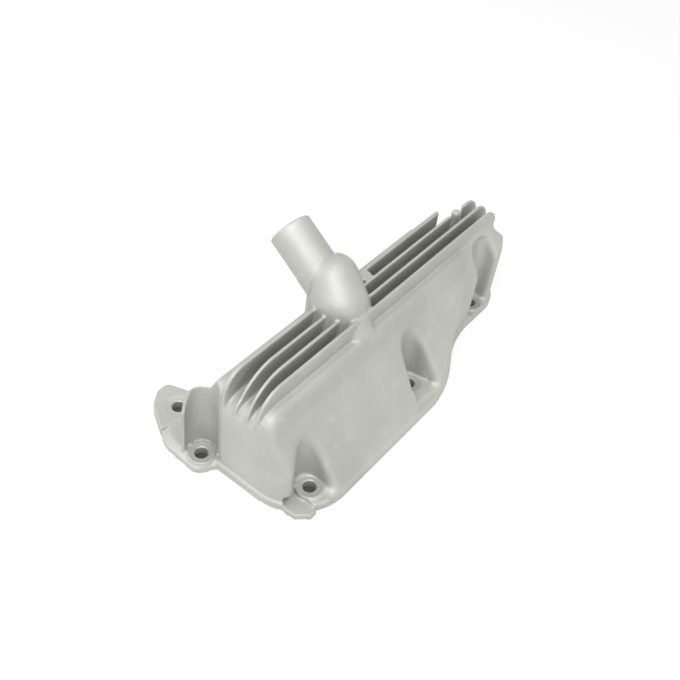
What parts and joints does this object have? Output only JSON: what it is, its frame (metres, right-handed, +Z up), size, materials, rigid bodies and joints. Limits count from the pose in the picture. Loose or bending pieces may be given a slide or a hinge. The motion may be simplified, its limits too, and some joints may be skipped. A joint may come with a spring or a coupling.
{
  "type": "oil pan",
  "caption": "Cast aluminium engine oil pan with sloped faces, cooling fins, bolt pads in spanner channels and an angled filler pipe rising from a domed riser.",
  "frame": {"origin": "midway between the corner and the front bolt hole, in the plane of the sealing face", "axes": "+X along the cooling fins towards the narrow end, +Y from the sloped front face to the back, +Z up from the sealing face"},
  "size_m": [0.2319, 0.115, 0.0981],
  "materials": {
    "cast_aluminium": "satin, fine cast grain"
  },
  "bodies": {
    "root": {"pan_casting": "cast_aluminium"}
  },
  "joints": []
}
